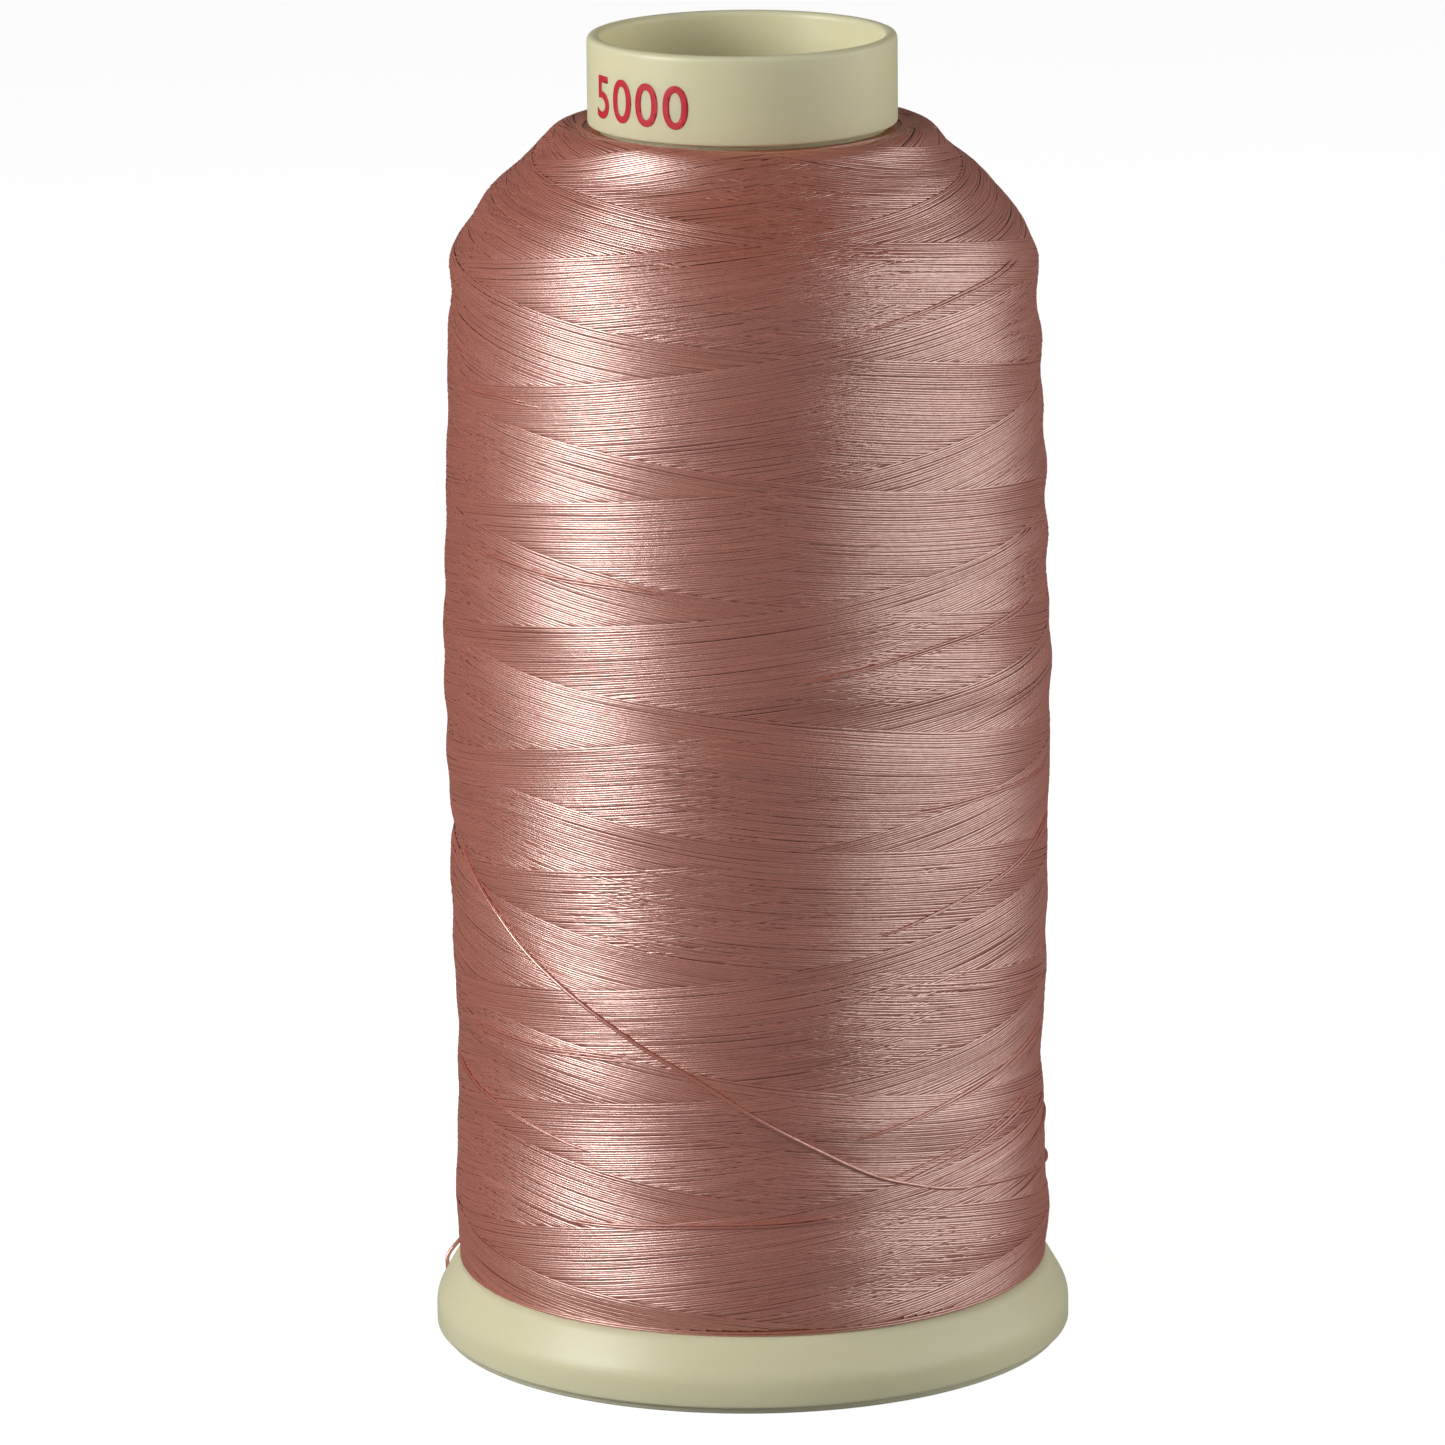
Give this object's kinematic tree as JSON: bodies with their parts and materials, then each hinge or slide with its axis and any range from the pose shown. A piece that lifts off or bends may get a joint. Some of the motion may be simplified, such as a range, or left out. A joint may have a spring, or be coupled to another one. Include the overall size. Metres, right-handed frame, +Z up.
{
  "type": "spool of thread",
  "caption": "Large spool of satin embroidery thread, cross-wound on a tapered plastic tube with a bare collar and a wide snap-in base that locks the thread's end.",
  "frame": {"origin": "centre of the circle that the base stands on", "axes": "+Z up along the spool's axis; -Y is the front, where the last wrap of thread crosses on a steep diagonal"},
  "size_m": [0.0582, 0.0582, 0.12],
  "materials": {
    "ivory_plastic": "satin moulded polypropylene, slightly translucent",
    "rose_thread": "shiny rayon filament thread, laid side by side",
    "label_paper": "uncoated paper"
  },
  "bodies": {
    "spool": {"winding_tube": "ivory_plastic", "base_flange": "ivory_plastic", "thread_package": "rose_thread", "thread_tail": "rose_thread"},
    "lock_plate": {"lock_plate": "ivory_plastic", "paper_label": "label_paper"}
  },
  "joints": [
    {"name": "lock_plate_slide", "type": "slide", "parent": "spool", "child": "lock_plate", "axis": [0, 0, -1], "range_m": [0, 0.0015]}
  ]
}
